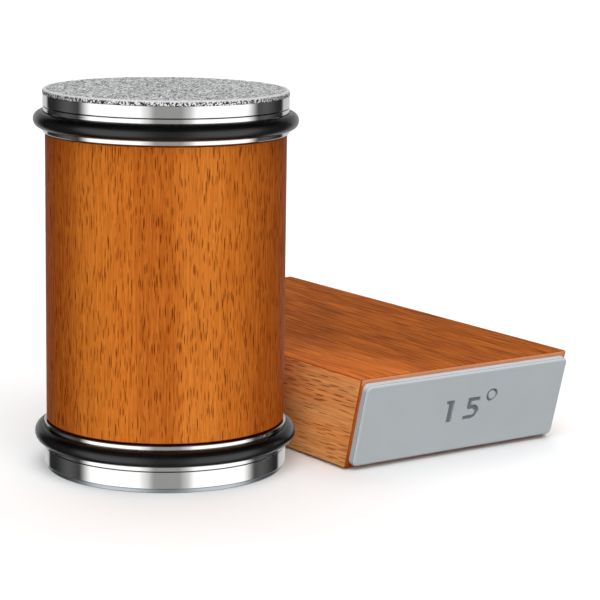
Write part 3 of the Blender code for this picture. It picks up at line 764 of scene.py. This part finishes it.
def pad(digits, end_angle):
    """Raised pad with rounded edges and its angle mark let in."""
    node = f"pad_{digits}"
    low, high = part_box("angle_block")
    width = high.x - low.x - 2 * PAD_SIDE_BORDER
    face_height = (high.z - low.z) / cos(end_angle)
    height = face_height - PAD_TOP_BORDER - PAD_BOTTOM_BORDER
    middle = (PAD_BOTTOM_BORDER - PAD_TOP_BORDER) / 2
    levels = [(0.0, -PAD_GAP)]
    for lift in range(0, 91, PAD_EDGE_STEP):
        inset = PAD_EDGE * (1 - cos(radians(lift)))
        levels.append((inset, PAD_EDGE * (1 - sin(radians(lift))) - PAD_PROUD))
    loops = []
    for inset, level in levels:
        sides = (width - 2 * inset, height - 2 * inset)
        outline = rounded_outline(*sides, PAD_CORNER - inset, CORNER_STEPS)
        loops.append([(x, level, middle + z) for x, z in outline])
    solid = bmesh.new()
    add_stack(solid, loops)
    piece = mesh_piece(placed(solid, end_angle), f"{node}_moulded")
    applied(piece, [mark_cutter(digits, end_angle)])
    return stand_in(piece, node)


def paint_pad(piece, end_angle, skin, mark_floor):
    """Gives the pad its skin, and the floor of its mark a darker one."""
    paint(piece, skin, mark_floor)
    inward = face_frame(end_angle).inverted()
    floor_level = MARK_DEPTH - PAD_PROUD
    for face in piece.data.polygons:
        from_floor = abs((inward @ face.center).y - floor_level)
        face.material_index = int(from_floor < MARK_TOLERANCE)


def base_mat():
    """Anti-slip sheet with rounded edges and cross ribs underneath."""
    low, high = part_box("base_mat")
    turns = np.linspace(0, pi / 2, MAT_EDGE_STEPS + 1)
    lifts = [(MAT_EDGE * (1 - cos(turn)), MAT_EDGE * (1 - sin(turn))) for turn in turns]
    loops = []
    for inset, lift in reversed(lifts):
        loops += mat_loops(-inset, [low.z + lift])
    loops += mat_loops(0.0, [high.z])
    solid = bmesh.new()
    add_stack(solid, loops)
    sheet = mesh_piece(solid, "base_mat_ribbed")
    grooves = bmesh.new()
    half = RIB_GROOVE_WIDTH / 2
    count = int((high.y - low.y - 2 * MAT_CORNER) / RIB_PITCH)
    first = (low.y + high.y) / 2 - (count - 1) * RIB_PITCH / 2
    for index in range(count):
        y = first + index * RIB_PITCH
        section = [
            (y - half, low.z - half),
            (y + half, low.z - half),
            (y + half, low.z),
            (y + half / 2, low.z + RIB_GROOVE_DEPTH),
            (y - half / 2, low.z + RIB_GROOVE_DEPTH),
            (y - half, low.z),
        ]
        ends = (low.x + MAT_CORNER, high.x - MAT_CORNER)
        add_stack(grooves, [[(x, y_at, z_at) for y_at, z_at in section] for x in ends])
    return stand_in(applied(sheet, [mesh_piece(grooves, "rib_cutter", None)]), "base_mat")


# ---- Finishes ------------------------------------------------------------------------------


class Pattern:
    """A node tree with short calls for the nodes that patterns are made of."""

    def __init__(self, tree):
        self.nodes = tree.nodes
        self.links = tree.links

    def node(self, kind, inputs, output=0, **settings):
        made = self.nodes.new(kind)
        for name, value in settings.items():
            setattr(made, name, value)
        for socket, value in inputs.items():
            self.feed(made.inputs[socket], value)
        return made.outputs[output]

    def feed(self, socket, value):
        if isinstance(value, bpy.types.NodeSocket):
            self.links.new(value, socket)
        else:
            socket.default_value = value

    def maths(self, operation, first, second=0.0, third=0.0):
        inputs = {0: first, 1: second, 2: third}
        return self.node("ShaderNodeMath", inputs, operation=operation)

    def vector(self, operation, first, second, output=0):
        inputs = {0: first, 1: second}
        return self.node("ShaderNodeVectorMath", inputs, output, operation=operation)

    def own_place(self, about=(0.0, 0.0, 0.0)):
        """The piece's own coordinates, from a point."""
        coordinates = self.node("ShaderNodeTexCoord", {}, "Object")
        return self.vector("SUBTRACT", coordinates, tuple(about))

    def scaled(self, place, sizes):
        """Coordinates counted in grains of one size, or of these sizes along X, Y and Z."""
        if not isinstance(sizes, tuple):
            sizes = (sizes, sizes, sizes)
        return self.vector("DIVIDE", place, sizes)

    def noise(self, place, sizes, detail=2.0, roughness=0.5, output=0):
        place = self.scaled(place, sizes)
        inputs = {"Vector": place, "Scale": 1.0, "Detail": detail, "Roughness": roughness}
        return self.node("ShaderNodeTexNoise", inputs, output)

    def cells(self, place, sizes, output=0, dimensions="3D"):
        inputs = {"Vector": self.scaled(place, sizes), "Scale": 1.0}
        return self.node("ShaderNodeTexVoronoi", inputs, output, voronoi_dimensions=dimensions)

    def remap(self, value, low, high, to_low=0.0, to_high=1.0, smooth=False):
        inputs = {0: value, 1: low, 2: high, 3: to_low, 4: to_high}
        kind = "SMOOTHSTEP" if smooth else "LINEAR"
        return self.node("ShaderNodeMapRange", inputs, interpolation_type=kind)

    def stretched(self, noise, to_low=0.0, to_high=1.0):
        """A noise stretched from the span that it mostly keeps to."""
        return self.remap(noise, *NOISE_SPAN, to_low, to_high)

    def distance(self, value, centre):
        """How far a value is from a centre, on either side."""
        return self.maths("ABSOLUTE", self.maths("SUBTRACT", value, centre))

    def mix(self, share, first, second):
        """Mixed colour. A Mix node's colours are its inputs 6 and 7 and its output 2."""
        colours = [c if isinstance(c, bpy.types.NodeSocket) else (*c, 1.0) for c in (first, second)]
        inputs = {0: share, 6: colours[0], 7: colours[1]}
        return self.node("ShaderNodeMix", inputs, 2, data_type="RGBA")

    def separate(self, vector, axis):
        return self.node("ShaderNodeSeparateXYZ", {0: vector}, axis)

    def join(self, x, y, z):
        return self.node("ShaderNodeCombineXYZ", {0: x, 1: y, 2: z})


class Finish(Pattern):
    """A Principled material. Values that are the same all over are set on its own sockets."""

    def __init__(self, name, roughness, metallic=0.0, specular=0.5):
        self.material = bpy.data.materials.new(name)
        self.material.use_nodes = True
        super().__init__(self.material.node_tree)
        self.shader = self.nodes["Principled BSDF"]
        self.set("Roughness", roughness)
        self.set("Metallic", metallic)
        self.set("Specular IOR Level", specular)

    def set(self, socket, value):
        self.feed(self.shader.inputs[socket], value)

    def bump(self, height, depth):
        inputs = {"Height": height, "Distance": depth, "Strength": 1.0}
        self.set("Normal", self.node("ShaderNodeBump", inputs))

    def from_axis(self, place):
        """Distance from the roller's axis, for coordinates that start on it."""
        flat = self.vector("MULTIPLY", place, (1.0, 1.0, 0.0))
        return self.vector("LENGTH", flat, (0.0, 0.0, 0.0), "Value")

    def turning_lines(self, pitch):
        """Fine rings about the roller's axis, on sides and on faces alike."""
        place = self.own_place(AXIS)
        rings = self.join(self.from_axis(place), self.separate(place, 2), 0.0)
        return self.noise(rings, pitch, detail=3.0)

    def vary_roughness(self, pattern, roughness, smoothest, roughest):
        """Roughness that follows a pattern, between two shares of its usual value."""
        varied = self.stretched(pattern, roughness * smoothest, roughness * roughest)
        self.set("Roughness", varied)


def stain_metal(finish, colour, sizes, detail):
    """Gives a metal its colour, a little darker in soft blotches."""
    blotches = finish.noise(finish.own_place(), sizes, detail)
    dark = tuple(channel * METAL_STAIN for channel in colour)
    finish.set("Base Color", finish.mix(blotches, dark, colour))


def turned_metal(name, colour, roughness, pitch, depth):
    """Metal with fine turning lines and a faint uneven stain."""
    finish = Finish(name, roughness, metallic=1.0)
    lines = finish.turning_lines(pitch)
    stain_metal(finish, colour, (6 * MM, 6 * MM, 3 * MM), 4.0)
    finish.vary_roughness(lines, roughness, 0.8, 1.25)
    finish.bump(lines, depth)
    return finish.material


def plated_metal(name, colour, roughness, grain, depth):
    """Plated metal with a soft uneven skin."""
    finish = Finish(name, roughness, metallic=1.0)
    skin = finish.noise(finish.own_place(), grain, detail=3.0)
    stain_metal(finish, colour, 4 * MM, 3.0)
    finish.vary_roughness(skin, roughness, 0.8, 1.25)
    finish.bump(skin, depth)
    return finish.material


def wandering(finish, place, sizes, reach):
    """Coordinates pushed about by slow noise, so that straight grain wanders a little."""
    sway = finish.noise(place, sizes, detail=1.0, output=1)
    sway = finish.vector("SUBTRACT", sway, (0.5, 0.5, 0.5))
    return finish.vector("ADD", place, finish.vector("MULTIPLY", sway, reach))


def pores(finish, place, sizes, width, sparseness, dimensions="3D"):
    """Short dark pores along the grain: 1 in a pore, 0 beside it."""
    nearest = finish.cells(place, sizes, 0, dimensions)
    depth = finish.remap(nearest, width * 0.7, width, 1.0, 0.0)
    tone = finish.separate(finish.cells(place, sizes, 1, dimensions), 0)
    return finish.maths("MULTIPLY", depth, finish.remap(tone, sparseness, 0.85))


def streaked(finish, colour, streaks, span, dark, light):
    """A colour with streaks. Its dark and light are each a share and the tint that it takes."""
    dark, light = (finish.mix(share, colour, tint) for share, tint in (dark, light))
    return finish.mix(finish.remap(streaks, *span), dark, light)


def finish_wood(finish, colour, streaks, depth, roughness):
    """Gives a wood its colour, its pores' roughness and its relief."""
    finish.set("Base Color", colour)
    finish.set("Roughness", finish.remap(depth, 0.0, 1.0, *roughness))
    relief = finish.maths("SUBTRACT", finish.maths("MULTIPLY", streaks, 0.3), depth)
    finish.bump(relief, WOOD_RELIEF)


def barrel_ground(finish, place, across):
    """Broad colour of the barrel: bands, painted shade on its flanks and a few stripes."""
    bands = finish.noise(place, (6 * MM, 6 * MM, 140 * MM))
    colour = finish.mix(finish.stretched(bands), *BARREL_BANDS)
    # Painted shade: darker towards the flanks, away from the lit front and back
    from_lit_front = finish.distance(across, LIT_FRONT_MIDDLE)
    side = finish.remap(from_lit_front, 10 * MM, 25 * MM, smooth=True)
    colour = finish.mix(side, colour, BARREL_FLANK_SHADE)
    for centre, share, tint in BARREL_STRIPES:
        away = finish.distance(across, centre)
        stripe = finish.remap(away, 2 * MM, 6 * MM, share, 0.0, smooth=True)
        colour = finish.mix(stripe, colour, tint)
    return colour


def barrel_wood():
    """Orange-brown hardwood, lighter to the front and back, with painted shade on the flanks
    between.
    """
    finish = Finish("barrel_wood", 0.5, specular=WOOD_SPECULAR)
    place = finish.own_place(AXIS)
    across = finish.vector("DOT_PRODUCT", place, (cos(FRONT_TURN), -sin(FRONT_TURN), 0.0), "Value")
    place = wandering(finish, place, (9 * MM, 9 * MM, 35 * MM), (0.5 * MM, 0.5 * MM, 0.0))
    colour = barrel_ground(finish, place, across)
    streaks = finish.noise(place, (0.32 * MM, 0.32 * MM, 7 * MM), detail=4.0, roughness=0.65)
    dark, light = BARREL_STREAKS
    colour = streaked(finish, colour, streaks, (0.36, 0.66), (0.26, dark), (0.3, light))
    fine = pores(finish, place, (0.30 * MM, 0.30 * MM, 3.4 * MM), width=0.37, sparseness=0.0)
    bold = pores(finish, place, (0.42 * MM, 0.42 * MM, 5.2 * MM), width=0.30, sparseness=0.45)
    depth = finish.maths("MAXIMUM", finish.maths("MULTIPLY", fine, 0.9), bold)
    colour = finish.mix(finish.maths("MULTIPLY", depth, 0.9), colour, BARREL_PORE)
    finish_wood(finish, colour, streaks, depth, (0.42, 0.65))
    return finish.material


def block_ground(finish, place, across, side):
    """Broad colour of the block: red with a dark heart and painted shade towards the far end on
    top, pale at the sides.
    """
    bands = finish.stretched(finish.noise(place, (5 * MM, 130 * MM, 5 * MM)))
    top = finish.mix(bands, *BLOCK_TOP)
    from_heart = finish.distance(across, HEART_PLACE)
    heart = finish.remap(from_heart, 4 * MM, 17 * MM, 0.75, 0.0, smooth=True)
    top = finish.mix(heart, top, BLOCK_HEART)
    # Painted shade: the top darker towards its far end and its right
    far_shade = finish.maths("ADD", finish.separate(place, 1), finish.maths("MULTIPLY", across, 1.6))
    far_shade = finish.remap(far_shade, -35 * MM, 25 * MM, 0.0, 0.9, smooth=True)
    top = finish.mix(far_shade, top, BLOCK_FAR_SHADE)
    # The long sides: their own tan, partly painted light
    return finish.mix(side, top, finish.mix(bands, *BLOCK_SIDE_TAN_AND_LIGHT))


def block_pores(finish, place, side):
    """Fine pores all over, fainter on the long sides, which have bold slanting ones too."""
    fine = pores(finish, place, (0.42 * MM, 4.0 * MM, 0.42 * MM), width=0.32, sparseness=0.3)
    fine = finish.maths("MULTIPLY", fine, finish.remap(side, 0.0, 1.0, 0.4, 0.15))
    height = finish.separate(place, 2)
    along = finish.maths("MULTIPLY_ADD", height, PORE_SLANT, finish.separate(place, 1))
    slanted = finish.join(along, height, 0.0)
    bold = pores(finish, slanted, (6.5 * MM, 0.36 * MM, MM), 0.31, 0.4, "2D")
    return finish.maths("MAXIMUM", fine, finish.maths("MULTIPLY", bold, side))


def block_ends(finish):
    """Colour of the sloped ends, round the pads, darker towards the foot and with a painted
    highlight along the top rim.
    """
    height = finish.separate(finish.own_place(), 2)
    colour = finish.mix(finish.remap(height, *END_FOOT_HEIGHTS), END_FOOT, END_MIDDLE)
    # Painted highlight along the top rim
    return finish.mix(finish.remap(height, *END_HIGHLIGHT_HEIGHTS), colour, END_RIM_HIGHLIGHT)


def block_wood():
    """Redder hardwood with its grain along the block, tan on its long sides, partly painted light.
    """
    finish = Finish("block_wood", 0.6, specular=WOOD_SPECULAR)
    place = finish.own_place()
    across = finish.separate(place, 0)
    place = wandering(finish, place, (12 * MM, 50 * MM, 12 * MM), (3 * MM, 0.0, 3 * MM))
    normal = finish.node("ShaderNodeTexCoord", {}, "Normal")
    facing = [finish.maths("ABSOLUTE", finish.separate(normal, axis)) for axis in range(3)]
    side = finish.remap(facing[0], *FACING_SPAN)
    end = finish.remap(facing[1], *FACING_SPAN, 0.0, END_SHARE)
    flattest = finish.maths("MAXIMUM", finish.maths("MAXIMUM", facing[0], facing[1]), facing[2])
    edge = finish.remap(flattest, 0.86, 0.935, 0.85, 0.0)
    colour = block_ground(finish, place, across, side)
    streaks = finish.noise(place, (0.5 * MM, 15 * MM, 0.5 * MM), detail=4.0, roughness=0.6)
    dark, light = (finish.mix(side, *tints) for tints in zip(TOP_STREAKS, SIDE_STREAKS_AND_LIGHT))
    # Fewer dark streaks on the long sides, as part of their painted light
    dark_share = finish.remap(side, 0.0, 1.0, 0.46, 0.36)
    colour = streaked(finish, colour, streaks, (0.36, 0.64), (dark_share, dark), (0.45, light))
    depth = block_pores(finish, place, side)
    pore = finish.mix(side, TOP_PORE, SIDE_PORE)
    colour = finish.mix(finish.maths("MULTIPLY", depth, 0.85), colour, pore)
    colour = finish.mix(end, colour, block_ends(finish))
    colour = finish.mix(edge, colour, BLOCK_EDGE)
    finish_wood(finish, colour, streaks, depth, (0.55, 0.75))
    return finish.material


def diamond_grit():
    """Crystals on the face, partly their own tone and partly painted sparkle and shade, a painted
    highlight on the rim, and painted shade and sparkle in the bare ragged grit below it.
    """
    low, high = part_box("diamond_plate")
    radius = (high.x - low.x) / 2
    finish = Finish("diamond_grit", 0.4, metallic=0.35)
    place = finish.own_place((AXIS.x, AXIS.y, high.z))
    out = finish.from_axis(place)
    down = finish.maths("MULTIPLY", finish.separate(place, 2), -1.0)
    # Crystal tones, partly their own and partly painted sparkle and shade
    tone = finish.separate(finish.cells(place, CRYSTAL_SIZE, 1), 0)
    clumps = finish.stretched(finish.noise(place, CLUMP_SIZE, roughness=0.7), 0.0, 0.4)
    tone = finish.maths("MULTIPLY_ADD", tone, 0.6, clumps)
    face = finish.mix(finish.remap(tone, 0.22, 0.67), *CRYSTAL_TONE_AND_SPARKLE)
    # Painted shade between grains and painted sparkle, below the rim
    speck = finish.separate(finish.cells(place, SPECK_SIZE, 1), 1)
    skirt_shade_and_sparkle = finish.mix(finish.remap(speck, 0.45, 0.65), *SPECK_SHADE_AND_SPARKLE)
    below = finish.remap(down, 0.22 * MM, 0.42 * MM)
    # Painted highlight on the rounded rim
    rim = finish.remap(out, radius - 0.8 * MM, radius - 0.55 * MM, 0.0, 0.85)
    colour = finish.mix(rim, face, RIM_HIGHLIGHT)
    colour = finish.mix(below, colour, skirt_shade_and_sparkle)
    finish.set("Base Color", colour)
    finish.set("Roughness", finish.remap(tone, 0.0, 1.0, 0.3, 0.6))
    finish.bump(finish.cells(place, CRYSTAL_SIZE), 0.05 * MM)
    return finish.material


def rubber(name, colour, roughness, grain, depth):
    """Moulded rubber with a faint bloom of dust."""
    finish = Finish(name, roughness, specular=RUBBER_SPECULAR)
    dust = finish.noise(finish.own_place(), 5 * MM, detail=3.0)
    light = tuple(channel * 1.8 for channel in colour)
    finish.set("Base Color", finish.mix(finish.remap(dust, 0.45, 0.75), colour, light))
    skin = finish.noise(finish.own_place(), grain)
    finish.vary_roughness(dust, roughness, 0.95, 1.1)
    finish.bump(skin, depth)
    return finish.material


def moulded(name, colour, roughness, grain, depth):
    """Moulded plastic with a fine eroded skin and faintly uneven colour."""
    finish = Finish(name, roughness, specular=PLASTIC_SPECULAR)
    clouds = finish.noise(finish.own_place(), 9 * MM, detail=3.0)
    dark = tuple(channel * 0.96 for channel in colour)
    finish.set("Base Color", finish.mix(finish.stretched(clouds), dark, colour))
    skin = finish.noise(finish.own_place(), grain)
    finish.vary_roughness(skin, roughness, 0.9, 1.1)
    finish.bump(skin, depth)
    return finish.material


def paint(piece, *materials):
    """Gives a piece these materials in place of its own."""
    piece.data.materials.clear()
    for made in materials:
        piece.data.materials.append(made)


# Slot, kind of finish, colour, roughness, scale of its lines or grain, and their depth
PLAIN_FINISHES = (
    ("polished_steel", turned_metal, (0.74, 0.74, 0.73), 0.07, 0.12 * MM, 0.0004 * MM),
    ("steel", turned_metal, (0.55, 0.55, 0.56), 0.28, 0.10 * MM, 0.004 * MM),
    ("aluminium", turned_metal, (0.78, 0.79, 0.80), 0.3, 0.16 * MM, 0.006 * MM),
    ("honing_steel", turned_metal, (0.38, 0.42, 0.45), 0.3, 0.1 * MM, 0.004 * MM),
    ("magnet", plated_metal, (0.66, 0.65, 0.60), 0.18, 1.5 * MM, 0.006 * MM),
    ("cage", moulded, (0.10, 0.10, 0.11), 0.5, 0.2 * MM, 0.006 * MM),
    ("pad", moulded, (0.53, 0.565, 0.59), 0.45, 0.12 * MM, 0.004 * MM),
    ("rubber", rubber, (0.002, 0.002, 0.0021), 0.26, 0.15 * MM, 0.0025 * MM),
    ("mat", rubber, (0.035, 0.035, 0.035), 0.75, 0.25 * MM, 0.0025 * MM),
)


def finishes():
    """One material for each slot of the record."""
    made = {
        "barrel_wood": barrel_wood(),
        "block_wood": block_wood(),
        "diamond_grit": diamond_grit(),
    }
    for slot, make, *look in PLAIN_FINISHES:
        made[slot] = make(slot, *look)
    return made


# ---- Studio --------------------------------------------------------------------------------


def camera():
    """Camera that looks along its heading, pitched down and rolled a little."""
    heading, pitch, roll = CAMERA_HEADING, CAMERA_PITCH, CAMERA_ROLL
    ahead = Vector((sin(heading) * cos(pitch), cos(heading) * cos(pitch), -sin(pitch)))
    right = Vector((cos(heading), -sin(heading), 0.0))
    up = right.cross(ahead)
    across = right * cos(roll) + up * sin(roll)
    upward = up * cos(roll) - right * sin(roll)
    data = bpy.data.cameras.new("camera")
    data.lens = CAMERA_LENS
    data.clip_start = 0.01
    made = bpy.data.objects.new("camera", data)
    turn = Matrix((across, upward, -ahead)).transposed().to_4x4()
    made.matrix_world = Matrix.Translation(CAMERA_PLACE) @ turn
    bpy.context.collection.objects.link(made)
    bpy.context.scene.camera = made


def aim(azimuth, elevation):
    """Unit vector at an azimuth from the camera's side, positive to the picture's right."""
    heading = CAMERA_HEADING - radians(azimuth)
    level = cos(radians(elevation))
    return (-sin(heading) * level, -cos(heading) * level, sin(radians(elevation)))


def glow(pattern, direction, light):
    """Brightness of a round-edged light: (azimuth, elevation, half width, softness, level)."""
    azimuth, elevation, half_width, softness, level = light
    cosine = pattern.vector("DOT_PRODUCT", direction, aim(azimuth, elevation), "Value")
    away = pattern.maths("ARCCOSINE", cosine)
    outer, inner = radians(half_width + softness), radians(half_width - softness)
    return pattern.remap(away, inner, outer, level, 0.0, smooth=True)


def world():
    """Soft lights for matt surfaces, and upright panels that the polished steel mirrors."""
    made = bpy.data.worlds.new("studio")
    made.use_nodes = True
    # Not sampled like a lamp, because its brightness differs between kinds of ray
    made.cycles.sampling_method = "NONE"
    bpy.context.scene.world = made
    pattern = Pattern(made.node_tree)
    pattern.nodes.clear()
    direction = pattern.node("ShaderNodeTexCoord", {}, "Generated")
    height = pattern.separate(direction, 2)
    soft = pattern.remap(height, -HORIZON, HORIZON, UNDER_LEVEL, AIR_LEVEL)
    for light in SOFT_LIGHTS:
        soft = pattern.maths("ADD", soft, glow(pattern, direction, light))
    level = pattern.vector("MULTIPLY", direction, (1.0, 1.0, 0.0))
    level = pattern.vector("NORMALIZE", level, (0.0, 0.0, 0.0))
    mirrored = PANEL_BASE
    for light in PANELS:
        mirrored = pattern.maths("ADD", glow(pattern, level, light), mirrored)
    crown = pattern.remap(height, *PANEL_CROWN, smooth=True)
    root = pattern.remap(height, *PANEL_ROOT, smooth=True)
    mirrored = pattern.maths("MULTIPLY", mirrored, pattern.maths("MULTIPLY", crown, root))
    glossy_ray = pattern.node("ShaderNodeLightPath", {}, "Is Glossy Ray")
    camera_ray = pattern.node("ShaderNodeLightPath", {}, "Is Camera Ray")
    strength = pattern.node("ShaderNodeMix", {0: glossy_ray, 2: soft, 3: mirrored})
    strength = pattern.node("ShaderNodeMix", {0: camera_ray, 2: strength, 3: 1.0})
    background = pattern.node("ShaderNodeBackground", {"Color": WHITE, "Strength": strength})
    output = pattern.nodes.new("ShaderNodeOutputWorld")
    pattern.links.new(background, output.inputs["Surface"])


def floor():
    """Wide pale floor under the set, which takes light and shadow but throws none back."""
    solid = bmesh.new()
    bmesh.ops.create_circle(solid, cap_ends=True, radius=FLOOR_RADIUS, segments=SMALL_STEPS)
    bmesh.ops.translate(solid, verts=solid.verts, vec=(0.0, 0.0, cad_low.z - FLOOR_DROP))
    made = mesh_piece(solid, "floor", None)
    finish = Finish("floor", 0.9, specular=0.0)
    finish.set("Base Color", FLOOR_COLOUR)
    paint(made, finish.material)
    made.visible_glossy = False
    made.visible_diffuse = False


def build():
    """Makes the studio and the fine pieces, then gives every piece its finish."""
    camera()
    world()
    floor()
    block = angle_block()
    block.visible_glossy = False
    pieces = [grip_barrel(), diamond_plate(), honing_plate(), block, base_mat()]
    pads = [(pad("15", FRONT_ANGLE), FRONT_ANGLE), (pad("20", REAR_ANGLE), REAR_ANGLE)]
    for end in ("diamond", "honing"):
        pieces += [wheel(end), o_ring(end), ring_magnet(end), wheel_screw(end), carrier(end)]
    materials = finishes()
    mark = moulded("mark_floor", *MARK_FLOOR_LOOK)
    for piece in pieces:
        paint(piece, materials[piece["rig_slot"]])
    for piece, end_angle in pads:
        paint_pad(piece, end_angle, materials["pad"], mark)
    for name, node in frame["nodes"].items():
        paint(node, materials[SLOTS[name]])
    bpy.context.scene.view_settings.view_transform = "Standard"


build()
